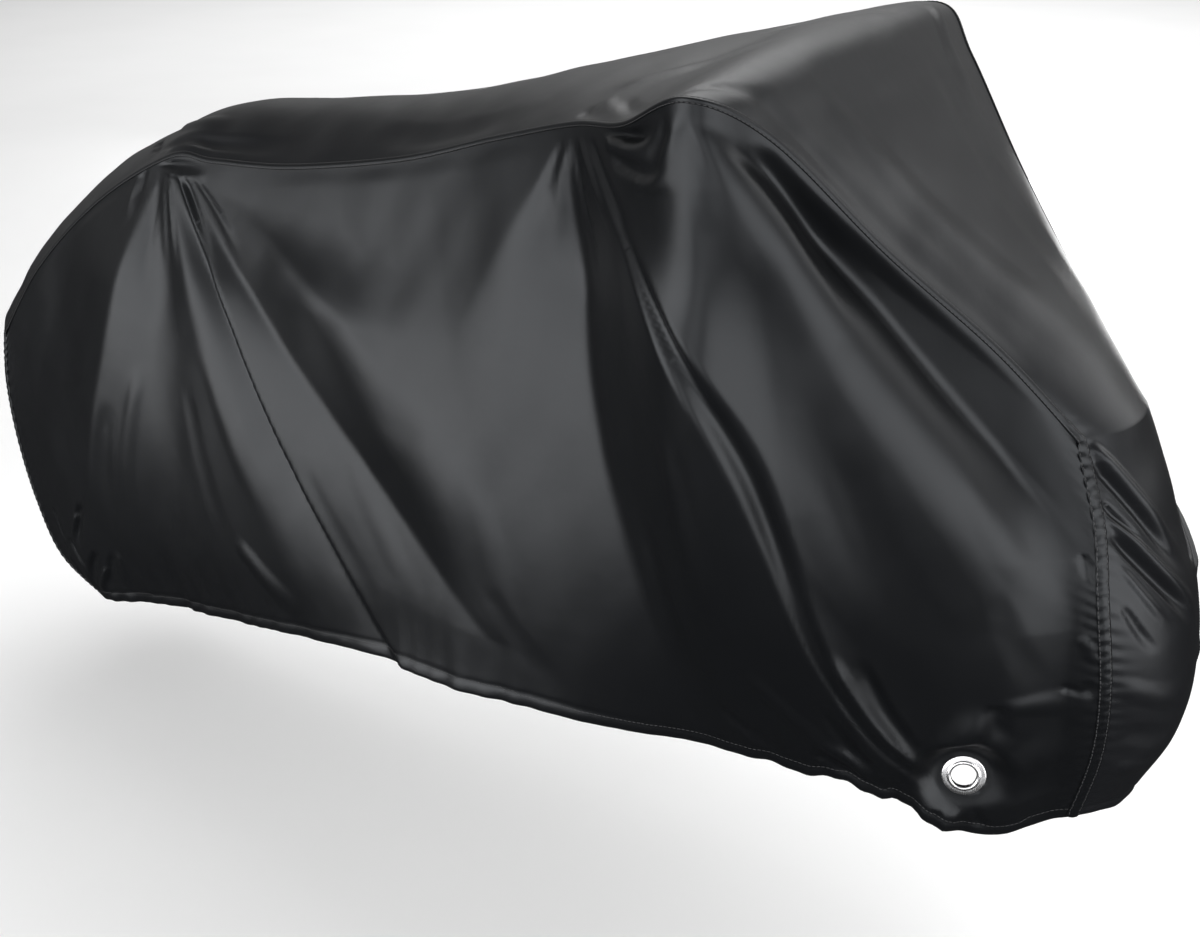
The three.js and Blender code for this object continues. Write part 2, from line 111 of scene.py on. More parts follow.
# A row is one crease down a side: the four points it passes in the side view, how far the cloth stands
# out along it, the share of that left at its foot, and the radius over which the cloth turns.
CREASE_COLUMNS = "x0 z0 x1 z1 x2 z2 x3 z3 height end round"
RIGHT_CREASES = table(
    CREASE_COLUMNS,
    (-640, 960, -760, 725, -860, 485, -935, 250, 0, 1, 60),
    (-463, 1000, -545, 740, -650, 475, -775, 215, 30, 0.5, 8),
    (-450, 1002, -430, 740, -460, 475, -540, 215, -2, 1, 40),
    (-430, 1003, -330, 780, -225, 560, -110, 335, 12, 0.6, 30),
    (-419, 1003, -290, 815, -150, 600, 60, 352, -10, 0.4, 10),
    (-405, 1003, -268, 815, -128, 600, 84, 355, 22, 0.4, 9),
    (-383, 1001, -225, 850, 0, 660, 255, 470, 4, 0.2, 12),
    (-300, 990, 10, 820, 185, 650, 290, 455, 34, 0.1, 80),
    (355, 1168, 250, 910, 245, 655, 330, 400, 8, 0, 50),
    (368, 1174, 366, 1000, 430, 780, 575, 410, -40, 0.6, 12),
    (381, 1175, 592, 960, 678, 750, 846, 385, 12, 0.6, 9),
    (386, 1174, 625, 926, 696, 720, 852, 385, -6, 1, 9),
    (392, 1172, 641, 926, 706, 720, 858, 385, 10, 0.8, 9),
    (600, 1172, 655, 1000, 712, 820, 868, 410, -9, 0.6, 45),
    (592, 1250, 690, 1070, 804, 885, 954, 640, 27, 0.5, 40),
    (640, 1200, 750, 1038, 850, 905, 1000, 730, -27, 0.9, 10),
    (660, 1200, 802, 1032, 906, 914, 1020, 770, 2, 0, 10),
)
LEFT_CREASES = table(
    CREASE_COLUMNS,
    (-640, 960, -760, 725, -860, 485, -935, 250, 0, 1, 60),
    (-460, 1000, -560, 740, -670, 475, -780, 215, 28, 0.5, 10),
    (-445, 1002, -430, 740, -450, 475, -500, 215, -4, 1, 40),
    (-410, 1003, -285, 790, -120, 575, 90, 359, 16, 0.7, 8),
    (-383, 1001, -150, 815, 65, 635, 280, 450, -30, 0.4, 12),
    (-320, 990, 35, 815, 250, 645, 330, 470, 0, 0, 60),
    (355, 1168, 285, 910, 300, 655, 400, 400, 6, 0, 50),
    (368, 1174, 415, 920, 470, 665, 530, 410, -36, 0.6, 16),
    (385, 1175, 575, 915, 725, 650, 830, 390, 12, 0.6, 8),
    (540, 1172, 670, 920, 780, 670, 875, 420, -22, 0.4, 45),
    (595, 1240, 745, 1010, 870, 780, 970, 550, 42, 0.3, 50),
    (650, 1180, 780, 1000, 900, 820, 1000, 640, -22, 0.4, 12),
    (675, 1175, 835, 995, 945, 820, 1015, 640, 0, 0, 10),
)
CREASE_OPEN, CREASE_GAP, ROUND_DEPTH, LEAST_ROUND = 0.25, 6, 250, 9

# A row is one wrinkle: a short ridge, or a groove if its height is negative, from a0 b0 to a1 b1. On
# a side cloth a and b are x and z. On the centre cloth a is the way along its middle from the rear hem
# and b is y. bend is how far its middle bows sideways, width the distance over which it fades out.
WRINKLE_COLUMNS = "a0 b0 a1 b1 bend width height"
RIGHT_WRINKLES = table(
    WRINKLE_COLUMNS,
    # round the rear apex
    (-470, 1012, -340, 1022, 3, 10, -5),
    (-440, 1000, -330, 1006, 4, 9, 3),
    (-490, 1004, -500, 930, 4, 9, -5),
    (-505, 985, -520, 900, 3, 10, 3),
    (-408, 1008, -322, 870, -4, 9, 3.5),
    (-398, 1006, -290, 850, -5, 9, -3),
    (-425, 1004, -392, 840, 3, 9, 2.5),
    (-446, 1000, -470, 800, 5, 9, -2.5),
    (-436, 1000, -425, 850, 3, 9, 2),
    (-372, 1004, -250, 900, -6, 9, 2.5),
    # rear corner, drawn in by the elastic
    (-712, 380, -764, 268, 6, 12, -6),
    (-735, 350, -778, 270, 4, 9, 5),
    (-794, 280, -748, 214, 6, 10, -5),
    (-704, 280, -768, 166, 8, 12, -6),
    (-690, 250, -740, 160, 5, 10, 5),
    (-660, 290, -700, 170, 8, 12, -4),
    (-820, 240, -790, 160, 4, 9, 4),
    (-840, 330, -800, 230, 4, 9, -4),
    (-640, 300, -650, 200, 4, 14, 3),
    # long soft ones on the rear and the panel
    (-300, 440, -150, 340, 8, 26, 4),
    (-560, 620, -650, 300, 12, 26, -3),
    (-480, 700, -590, 330, 10, 22, 3),
    (-330, 760, -190, 470, 14, 22, 1.2),
    (-380, 700, -300, 360, 10, 24, -1.5),
    (-40, 700, 150, 440, 12, 26, 1.2),
    (-120, 640, 60, 420, 10, 22, -1.2),
    (80, 1080, 170, 760, 14, 50, 1),
    (-60, 1010, 110, 800, 12, 44, -1),
    (230, 720, 330, 430, 10, 30, 1.2),
    (300, 1000, 290, 620, 8, 30, -1),
    (250, 560, 380, 420, 8, 26, -1.2),
    # the tank apex
    (378, 1172, 470, 1080, 4, 9, 3),
    (372, 1170, 410, 1000, 3, 9, -3),
    (360, 1168, 330, 1010, 4, 9, 2.5),
    (350, 1160, 300, 1040, 3, 9, -2),
    (400, 1176, 520, 1090, 5, 9, -3),
    # slack cloth between the tank and the handlebar
    (424, 1194, 550, 1220, 7, 11, -9),
    (436, 1180, 540, 1196, 5, 13, 6),
    (470, 1190, 528, 1210, 3, 9, -4),
    (508, 1226, 566, 1246, -4, 9, -7),
    (452, 1164, 560, 1176, 4, 12, -4),
    (500, 1150, 580, 1180, 4, 12, 4),
    # the handlebar end
    (580, 1246, 560, 1150, 4, 16, 3),
    (594, 1240, 650, 1110, -6, 16, 3),
    (570, 1236, 520, 1130, 5, 14, -3),
    # along the handlebar roll
    (626, 1216, 756, 1006, -5, 17, -11),
    (700, 1010, 880, 690, 16, 30, 1.2),
    (740, 900, 900, 560, 20, 26, -1.2),
    (700, 860, 850, 540, 16, 26, 1.2),
    (840, 860, 990, 640, 8, 20, 1.5),
    (660, 840, 790, 560, 10, 18, -1.5),
    (900, 700, 980, 540, 8, 20, -1.5),
    (560, 900, 640, 560, 10, 26, 3),
    (500, 760, 600, 430, 8, 24, -2.5),
    (640, 560, 770, 400, 6, 16, 3),
    (600, 480, 700, 390, 4, 14, -3),
    # ridges that the eyelet gathers
    (738, 612, 852, 386, 12, 16, 7),
    (772, 600, 866, 396, 12, 14, -6),
    (748, 540, 838, 372, 14, 14, 4),
    (728, 520, 818, 366, 12, 12, -4),
    (722, 448, 818, 384, 6, 16, 4.5),
    (712, 424, 806, 366, 5, 14, -4),
    (864, 428, 918, 534, -6, 26, 11),
    (919, 540, 930, 470, 4, 18, -8),
    (918, 533, 1018, 528, -6, 20, 3),
    (912, 416, 1010, 490, 8, 30, 3.5),
    (920, 372, 1014, 430, 6, 26, -2.5),
    (862, 352, 852, 304, 2, 10, -4),
    (880, 350, 880, 300, 2, 10, 4),
    (904, 352, 914, 306, 2, 10, -4),
    # the front seam
    (1015, 578, 1023, 545, 2, 9, -5),
    (1000, 640, 1024, 600, 3, 9, 3),
    (984, 560, 1022, 560, 3, 9, -3),
    (985, 742, 1008, 700, 3, 9, -4),
)
LEFT_WRINKLES = table(
    WRINKLE_COLUMNS,
    (-470, 1006, -330, 1010, 3, 10, -5),
    (-480, 1000, -505, 900, 4, 9, -4),
    (-405, 1006, -310, 860, -4, 9, 3),
    (-430, 1000, -420, 830, 3, 9, -3),
    (-712, 380, -764, 268, 6, 12, -6),
    (-740, 350, -790, 250, 4, 9, 5),
    (-700, 280, -764, 166, 8, 12, -5),
    (-660, 300, -700, 180, 8, 12, 4),
    (-560, 620, -640, 300, 12, 26, -3),
    (-360, 740, -240, 400, 12, 20, 3),
    (-40, 720, 160, 430, 12, 24, 3),
    (60, 1060, 190, 760, 14, 40, -3),
    (230, 740, 330, 430, 10, 26, 3),
    (430, 1206, 550, 1226, 7, 11, -8),
    (440, 1186, 540, 1204, 5, 13, 6),
    (380, 1180, 470, 1080, 4, 9, 3),
    (580, 1240, 624, 1204, 3, 9, -5),
    (590, 1230, 640, 1110, -6, 11, 5),
    (600, 1220, 690, 1060, -8, 9, -4),
    (700, 990, 880, 680, 16, 26, 4),
    (750, 860, 900, 560, 20, 22, -4),
    (560, 900, 640, 560, 10, 26, 3),
    (738, 600, 850, 390, 12, 9, 6),
    (752, 560, 840, 376, 14, 9, -6),
    (722, 448, 822, 384, 6, 10, 5),
    (864, 428, 912, 524, -6, 14, 8),
    (915, 520, 930, 450, 4, 10, -8),
    (918, 410, 1006, 450, 5, 9, 5),
    (930, 352, 1014, 410, 6, 9, 5),
    (862, 352, 852, 304, 2, 9, -5),
    (880, 350, 878, 300, 2, 9, 5),
    (898, 350, 904, 300, 2, 9, -5),
)
CENTRE_WRINKLES = table(
    WRINKLE_COLUMNS,
    # behind the saddle
    (1205, -70, 1250, -124, 4, 9, -5),
    (1232, -104, 1590, -132, 8, 14, -7),
    (1268, -124, 1480, -142, 3, 8, 5),
    (1240, -60, 1420, -96, 6, 16, 4),
    (1216, 60, 1420, 112, 8, 14, -5),
    (1190, -20, 1260, 70, 6, 12, 4),
    # over the tank and the handlebar
    (1700, -120, 2060, -190, 14, 30, -3),
    (1760, 80, 2100, 190, 14, 34, 3),
    (2110, -216, 2190, -300, 6, 14, -4),
    (2130, -196, 2240, -320, 8, 16, 2.5),
    (2170, -220, 2300, -360, 8, 14, -3),
    (2150, 220, 2260, 330, 8, 12, -6),
    (2120, -170, 2320, -90, 16, 26, 3),
    (2200, 60, 2380, 210, 14, 26, -3),
    (2310, -380, 2400, -300, 5, 14, -3),
    (2330, -330, 2860, -70, 24, 34, -3),
    (2380, -200, 2900, 10, 18, 40, 3),
    (2420, 160, 2880, 50, 16, 40, -3),
    (2340, 330, 2560, 170, 12, 22, 4),
    # down the nose
    (2930, -112, 3120, -10, 4, 14, 9),
    (2960, -116, 3130, -24, 4, 10, -7),
    (3024, -118, 3080, -84, 3, 8, -7),
    (3040, -120, 3190, 0, 6, 12, 8),
    (3066, -124, 3200, -14, 6, 12, -8),
    (3110, -120, 3190, -70, 4, 8, 3),
    (3140, 20, 3040, 100, 6, 10, -5),
    (3160, 30, 3070, 116, 6, 10, 5),
    (3160, -126, 3220, -90, 4, 8, -3),
    (3254, -134, 3290, -10, 6, 20, 2.5),
    (3262, 10, 3240, 120, 5, 18, 2.5),
    (3320, -112, 3350, -20, 4, 20, -2),
    (3340, 20, 3330, 100, 4, 14, 2.5),
    (3376, -104, 3404, -20, 3, 16, 2.5),
    # the tail
    (300, -60, 520, -90, 10, 22, 4),
    (180, 30, 420, 70, 10, 22, -4),
    (80, -70, 200, -40, 6, 12, 5),
    (60, 20, 180, 50, 6, 12, -5),
)
FADE_TOP, FADE_ENDS = 0.05, 0.07  # share of a side over which its folds fade in from the seams
WRINKLE_TOP, WRINKLE_ENDS = 0.015, 0.02  # the same for its wrinkles
SEAM_FLAT = 0.008  # share of a side beside the top seam that stays flat
CENTRE_FADE = 0.12  # share of the centre cloth's half width over which its folds fade in
CROWN_POWER = 2.3  # 2 is a plain arch, and more is flatter in the middle
SLACK_SIDE, SLACK_CENTRE = 0.9, 1.1  # heights of the slack in the cloths
GATHER_MIDDLE = 0.35  # share of the hem's gathers that is left in the middle of a side
# A row is one of the waves in a gathered hem: its length, its share of the drift and its height.
HEM_WAVES = ((118, 1, 1), (67, -1, 0.7), (39, 0.7, 0.45))
# How far the centre's seams pucker from the rear hem and from the front hem, and where that dies out.
PUCKERED_TAIL, PUCKERED_NOSE, PUCKER_CHANGE = 700, 650, 100

# The strips over the seams: points across, points along over which the width changes, height of the
# edge and the rise to the middle; the small wave of a wide strip, and half the width that is wide.
STRIP_POINTS, STRIP_CHANGE, STRIP_EDGE, STRIP_RISE, STRIP_THICKNESS = 9, 20, 0.5, 1.0, 0.6
STRIP_WAVE, STRIP_WAVE_LENGTH, STRIP_WIDE = 0.5, 13, 6
# The stitches: points along and round one, its width, and its spacing as a multiple of its length.
STITCH_LONG, STITCH_ROUND, STITCH_WIDTH, STITCH_SPACING = 5, 6, 1.1, 1.35
STITCH_LIFT = 0.2  # height of the hem's stitches over the cloth
MOST_HEM_CELLS = 12  # the most cells between them and the edge

# The eyelet: its place on the right side, and the diameters and heights of its rings.
EYELET_X, EYELET_HALF, EYELET_Z = 884, 152, 394
EYELET_TURN, EYELET_TILT = math.radians(20), math.radians(8)
EYELET_HOLE, EYELET_BARREL, EYELET_FLANGE = 32, 36, 56
LIP, LIP_HEIGHT, FLANGE_HEIGHT = 42, 3.2, 1.6
WASHER, WASHER_THICKNESS = 54, 1.2
FLAT_RADIUS, FLAT_BLEND = 34, 40
BEHIND = -3.8  # the back of the washer, under the cloth
HOLE_GAP = 0.5  # between the eyelet's barrel and the hole in the cloth

# ---- Stage, in metres from the frame's origin, and the weave -------------------------------------
WEAVE_PITCH = 0.0011
FLOOR_SIZE = 40
# A row is one softbox: its name, its place, the point it faces, its width and height, and its power.
SOFTBOXES = (
    ("overhead_softbox", (0.3, 1.4, 2.8), (0.1, 0.2, -0.2), (3.2, 2.4), 45),
    ("front_softbox", (-1.9, -3.8, -0.5), (0.1, 0, -0.5), (4.4, 3.0), 310),
    ("camera_softbox", (1.9, -4.2, -0.5), (0.3, 0, -0.5), (2.4, 3.0), 100),
    ("right_softbox", (4.3, -1.3, -0.5), (0.3, 0, -0.5), (3.8, 3.1), 240),
    ("far_softbox", (3.9, 3.1, 1.2), (0.3, 0, 0.0), (3.6, 2.4), 78),
    ("left_softbox", (-1.2, 4.2, -1.1), (0.1, 0, -0.7), (5.0, 1.1), 110),
    ("background_softbox", (-2.5, 7.5, 5.0), (-2.5, 6.5, -1.1), (9, 6), 500),
)
CAMERA_PLACE = (1.258, -1.67, 1.543)  # from the ground, in the tables' directions
CAMERA_TURN, CAMERA_DIP, CAMERA_LENS = 31.1, 25.6, 43.35  # degrees, degrees and millimetres


def smooth(t):
    """0 up to t = 0, 1 from t = 1, and 3t² - 2t³ between."""
    t = np.clip(t, 0, 1)
    return t * t * (3 - 2 * t)


def unit(vectors):
    """Vectors divided by their lengths."""
    return vectors / np.maximum(np.linalg.norm(vectors, axis=-1, keepdims=True), 1e-9)


def row_at(rows, t):
    """The rows between the rows of a table: every column on a Catmull-Rom curve through its values,
    whose slope at a row is half the difference of the rows beside it. t is an array from 0 to 1."""
    count = len(next(iter(rows.values())))
    place = np.asarray(t, float) * (count - 1)
    i = np.minimum(place.astype(int), count - 2)
    f = place - i
    mixed = {}
    for name, values in rows.items():
        a, b = values[i], values[i + 1]
        slope_in = (b - values[np.maximum(i - 1, 0)]) / 2
        slope_out = (values[np.minimum(i + 2, count - 1)] - a) / 2
        mixed[name] = (a + f * slope_in + f**2 * (3 * (b - a) - 2 * slope_in - slope_out)
                       + f**3 * (2 * (a - b) + slope_in + slope_out))
    return mixed


def seam_points(row, left):
    """Points of a seam as if on the right side, where y is negative."""
    return np.stack([row["x"] + left * row["leftX"], -(row["half"] + left * row["leftHalf"]),
                     row["z"] + left * row["leftZ"]], -1)


def crease_heights(creases, x, z):
    """Relief of a side at the points x, z of its side view. Each crease is a line down the side, whose
    x is the cubic in z through its four points. On every level the relief is the chain of straight
    lines between the creases' heights, with each corner rounded by a parabola."""
    xs = np.stack([creases[f"x{i}"] for i in range(4)], 1)
    zs = np.stack([creases[f"z{i}"] for i in range(4)], 1)
    places, heights = [], []
    for points, levels, height, end in zip(xs, zs, creases["height"], creases["end"]):
        level = np.clip(z, levels[3], levels[0])
        place = sum(
            points[i] * np.prod([(level - levels[j]) / (levels[i] - levels[j])
                                 for j in range(4) if j != i], 0) for i in range(4))
        if places:
            place = np.maximum(place, places[-1] + CREASE_GAP)
        t = (levels[0] - level) / (levels[0] - levels[3])
        places.append(place)
        heights.append(height * smooth(t / CREASE_OPEN) * (1 + (end - 1) * smooth(2 * t - 1)))
    total, slope = heights[0], 0
    for i, (place, radius) in enumerate(zip(places, creases["round"])):
        last = i + 1 == len(places)
        ahead = 0 if last else (heights[i + 1] - heights[i]) / (places[i + 1] - place)
        radius = np.maximum(radius * np.clip((zs[i, 0] - z) / ROUND_DEPTH, 0.2, 1), LEAST_ROUND)
        near = np.clip((x - place + radius) / (2 * radius), 0, 1)
        total = total + (ahead - slope) * (radius * near**2 + np.maximum(0, x - place - radius))
        slope = ahead
    return total


def wrinkle_heights(wrinkles, a, b):
    """Relief of short wrinkles at the points a, b. Across a wrinkle the height is that of the bell
    (1 - d²)², where d is the distance from its bowed line over its width; along it, it rises over the
    first fifth and sinks over the last half."""
    total = np.zeros(np.shape(a))
    for a0, b0, a1, b1, bend, width, height in zip(*wrinkles.values()):
        run = np.hypot(a1 - a0, b1 - b0)
        t = ((a - a0) * (a1 - a0) + (b - b0) * (b1 - b0)) / run**2
        aside = ((a - a0) * (b1 - b0) - (b - b0) * (a1 - a0)) / run
        d = (aside - bend * 4 * t * (1 - t)) / (width * (0.8 + 0.6 * np.clip(t, 0, 1)))
        bell = np.maximum(0, 1 - d**2) ** 2
        total += height * bell * smooth(t / 0.2) * smooth((1 - t) / 0.5)
    return total


def slack(a, b, seed, waves=7, shortest=70, longest=260):
    """Uneven softness of hanging cloth: a sum of sine waves of seeded directions and phases, each with
    a height in proportion to its length, together about 1 high."""
    rng = np.random.default_rng(seed)
    length = np.geomspace(shortest, longest, waves)
    angle = rng.uniform(-0.7, 0.7, waves)
    phase = rng.uniform(0, 2 * np.pi, waves)
    return sum(
        size / length.sum() * np.sin(2 * np.pi * (a * np.cos(turn) + b * np.sin(turn)) / size + start)
        for size, turn, start in zip(length, angle, phase)) * 2


def grid_normals(grid, sign):
    """Unit normals of a grid of points: the cross product of the slopes along and across it."""
    return unit(sign * np.cross(np.gradient(grid, axis=0), np.gradient(grid, axis=1)))


def distances(lines):
    """Distances from the first point of each line of points, added up from point to point."""
    steps = np.linalg.norm(np.diff(lines, axis=1), axis=-1)
    return np.concatenate([np.zeros((len(lines), 1)), np.cumsum(steps, 1)], 1)


def eyelet_frame():
    """The centre of the right eyelet and its outward axis."""
    axis = np.array([math.sin(EYELET_TURN) * math.cos(EYELET_TILT),
                     -math.cos(EYELET_TURN) * math.cos(EYELET_TILT), math.sin(EYELET_TILT)])
    return np.array([EYELET_X, -EYELET_HALF, EYELET_Z], float), axis


def from_eyelet(points):
    """Depth of points along the right eyelet's axis, and their distance from that axis."""
    centre, axis = eyelet_frame()
    offset = points - centre
    depth = offset @ axis
    return depth, np.sqrt(np.maximum(0, (offset**2).sum(-1) - depth**2))


def press_flat(points):
    """Moves the cloth round the eyelet onto the eyelet's plane, with a smooth step to the rest."""
    depth, radius = from_eyelet(points)
    share = 1 - smooth((radius - FLAT_RADIUS) / FLAT_BLEND)
    return points - (depth * share)[..., None] * eyelet_frame()[1]


def hem_relief(above, along, gather, hem_width, seed):
    """Relief near a hem: the doubled band, 1 mm proud, with a sewn groove at its upper edge and its own
    edge turned in by 2.2 mm, and waves of gathered cloth that die out upwards. above: distance from the
    edge. along: distance on the hem. gather: height of the waves. The waves are three sines whose
    lengths and heights drift, so that none repeats and some stretches hang almost smooth."""
    drift = 34 * np.sin(along / 131 + seed) + 17 * np.sin(along / 57 + 2 * seed)
    waves = sum(height * np.sin(2 * np.pi * (along + share * drift) / length)
                for length, share, height in HEM_WAVES)
    waves = waves * (0.3 + 0.7 * smooth(0.5 + 0.8 * np.sin(along / 93 + 3 * seed)))
    band = 1 - smooth((above - hem_width) / 4)
    groove = np.exp(-((above - hem_width - 2) / 4.5) ** 2)
    edge = np.exp(-above / 2.5)
    return gather * waves * np.exp(-above / 60) + 1.0 * band - 1.3 * groove - 2.2 * edge


def pucker(distance, along, height, pitch=17):
    """Small puckers beside a seam: a sine along it, whose length drifts. They are nothing on the seam
    itself, highest 8 mm from it, and die out beyond."""
    wave = np.sin(2 * np.pi * (along + 7 * np.sin(along / 37)) / pitch)
    return height * wave * distance / 5 * np.exp(-distance / 8)


def side_grid(creases, wrinkles, left, sizes):
    """One side cloth as a right side: a patch between its four edges (the sum of the two straight
    blends, less the blend of the corners), swollen by the belly, then lifted along its normals by the
    creases, wrinkles, slack, hem and puckers."""
    fold, gather, hem_width, puckers = sizes
    u = np.linspace(0, 1, CELLS_ALONG + 1)
    v = np.linspace(0, 1, CELLS_DOWN + 1)
    sections = row_at(SECTIONS, u)
    top = seam_points(sections, left)[:, None]
    hem = np.stack([sections["hemX"], -sections["hemHalf"], sections["hemZ"]], -1)[:, None]
    tail = seam_points(row_at(TAIL_SEAM, v), left)[None]
    nose = seam_points(row_at(NOSE_SEAM, v), left)[None]
    a, b = u[:, None, None], v[None, :, None]
    corners = ((1 - a) * (1 - b) * tail[:, :1] + a * (1 - b) * nose[:, :1]
               + (1 - a) * b * tail[:, -1:] + a * b * nose[:, -1:])
    grid = (1 - a) * tail + a * nose + (1 - b) * top + b * hem - corners
    grid[..., 1] -= sections["belly"][:, None] * np.sin(np.pi * v)[None]
    outward = grid_normals(grid, -1)
    to_end = np.minimum(u, 1 - u)[:, None]
    ends = smooth(to_end / FADE_ENDS)
    fade = ends * smooth((v[None] - SEAM_FLAT) / FADE_TOP)
    x, z = grid[..., 0], grid[..., 2]
    height = fade * (crease_heights(creases, x, z) + fold * SLACK_SIDE * slack(x, z, 3 + left))
    inside = smooth(to_end / WRINKLE_ENDS) * smooth((v[None] - SEAM_FLAT) / WRINKLE_TOP)
    height += fold * inside * wrinkle_heights(wrinkles, x, z)
    above = distances(grid[:, ::-1])[:, ::-1]
    along = distances(grid[:, -1][None])[0][:, None]
    corner = np.maximum(smooth((u - 0.72) / 0.2), smooth((0.3 - u) / 0.25))
    drawn_in = gather * (GATHER_MIDDLE + (1 - GATHER_MIDDLE) * corner)
    height += ends * hem_relief(above, along, drawn_in[:, None], hem_width, 1 + left)
    down = distances(nose)[0][None]
    to_nose = distances(grid[::-1].swapaxes(0, 1)).T[::-1]
    to_tail = distances(grid.swapaxes(0, 1)).T
    height += pucker(to_nose, down, puckers) + pucker(to_tail, down, puckers)
    return press_flat(grid + height[..., None] * outward)


def seam_of(grid):
    """The edge of a side cloth along its seam, from the rear hem over the top to the front hem."""
    return np.concatenate([grid[0, :0:-1], grid[:-1, 0], grid[-1]])


def centre_grid(right_seam, left_seam, sizes):
    """The centre cloth: straight across between the seams, plus its crown times 1 - |t|^power, then
    lifted along its normals by its wrinkles, slack, hems and puckers."""
    fold, gather, hem_width, puckers = sizes
    v = np.linspace(0, 1, CELLS_DOWN + 1)
    u = np.linspace(0, 1, CELLS_ALONG + 1)
    parts = [(row_at(TAIL_SEAM, v), slice(None, 0, -1)), (row_at(SECTIONS, u), slice(None, -1)),
             (row_at(NOSE_SEAM, v), slice(None))]
    rise = np.concatenate([
        np.stack([row["crownX"], 0 * row["crownX"], row["crownZ"]], -1)[part] for row, part in parts])
    t = np.linspace(-1, 1, CELLS_ACROSS + 1)[None, :]
    across = right_seam[:, None] * (1 - t[..., None]) / 2 + left_seam[:, None] * (1 + t[..., None]) / 2
    grid = across + rise[:, None] * (1 - np.abs(t[..., None]) ** CROWN_POWER)
    outward = grid_normals(grid, 1)
    middle = grid[:, CELLS_ACROSS // 2]
    along = distances(middle[None])[0][:, None]
    length = along[-1, 0]
    y = grid[..., 1]
    fade = smooth((1 - np.abs(t)) / CENTRE_FADE)
    height = fade * fold * (
        wrinkle_heights(CENTRE_WRINKLES, along + 0 * y, y) + SLACK_CENTRE * slack(along, y, 9))
    edge_distance = np.minimum(distances(grid), distances(grid[:, ::-1])[:, ::-1])
    steep = smooth((PUCKERED_TAIL - along) / PUCKER_CHANGE)
    steep = steep + smooth((along - length + PUCKERED_NOSE) / PUCKER_CHANGE)
    height += steep * pucker(edge_distance, along, puckers)
    for above, seed in ((along, 5), (length - along, 6)):
        height += fade * hem_relief(above, y, gather, hem_width, seed)
    return grid + height[..., None] * outward


def mirrored(grid):
    """The points on the other side of the cover."""
    return grid * np.array([1, -1, 1])


@functools.cache
def cloth_grids(*sizes):
    """The right, left and centre cloths as grids of points in millimetres. sizes: share of the fine
    folds that is kept, height of the hem's gathers, width of the hem and height of the puckers."""
    right = side_grid(RIGHT_CREASES, RIGHT_WRINKLES, 0, sizes)
    left = mirrored(side_grid(LEFT_CREASES, LEFT_WRINKLES, 1, sizes))
    return right, left, centre_grid(seam_of(right), seam_of(left), sizes)


# ---- Meshes --------------------------------------------------------------------------------------
def sheet_uv(grid):
    """Distances in metres along and across a grid, for a weave that keeps its scale."""
    across = distances(grid)
    along = distances(grid.swapaxes(0, 1)).T
    return np.stack([along, across], -1) * MM


def grid_mesh(name, grid, material, flip=False, hole=None, ring=False):
    """A mesh over a grid of points in millimetres. Each cell is cut into two triangles along the
    diagonal whose ends face more alike, so that a narrow fold stays straight. hole: true for each point
    that is cut out. ring: the last row meets the first."""
    rows, columns = grid.shape[:2]
    index = np.arange(rows * columns).reshape(rows, columns)
    if ring:
        index = np.concatenate([index, index[:1]])
    quads = np.stack([index[:-1, :-1], index[1:, :-1], index[1:, 1:], index[:-1, 1:]], -1)
    quads = quads.reshape(-1, 4)
    if hole is not None:
        quads = quads[~hole.reshape(-1)[quads].any(1)]
    if flip:
        quads = quads[:, ::-1]
    facing = grid_normals(grid, 1).reshape(-1, 3)[quads]
    one, other = ((facing[:, i] * facing[:, i + 2]).sum(-1) for i in (0, 1))
    corners = np.where(
        (one >= other)[:, None, None], [[0, 1, 2], [0, 2, 3]], [[0, 1, 3], [1, 2, 3]])
    faces = np.take_along_axis(quads, corners.reshape(-1, 6), 1).reshape(-1, 3)
    used, faces = np.unique(faces, return_inverse=True)
    faces = faces.reshape(-1, 3)
    mesh = bpy.data.meshes.new(name)
    mesh.from_pydata((grid.reshape(-1, 3)[used] * MM - ORIGIN).tolist(), [], faces.tolist())
    layer = mesh.uv_layers.new(name="cloth")
    layer.uv.foreach_set("vector", sheet_uv(grid).reshape(-1, 2)[used][faces.reshape(-1)].reshape(-1))
    mesh.shade_smooth()
    mesh.materials.append(material)
    return linked(name, mesh)


def linked(name, mesh):
    """A new object for a mesh, in the scene, riding on the cover's one body."""
    piece = bpy.data.objects.new(name, mesh)
    bpy.context.scene.collection.objects.link(piece)
    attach(piece, "root")
    return piece


def thicken(piece, thickness):
    """Gives a sheet its thickness inwards."""
    solidify = piece.modifiers.new("thickness", "SOLIDIFY")
    solidify.thickness = thickness
    solidify.offset = -1


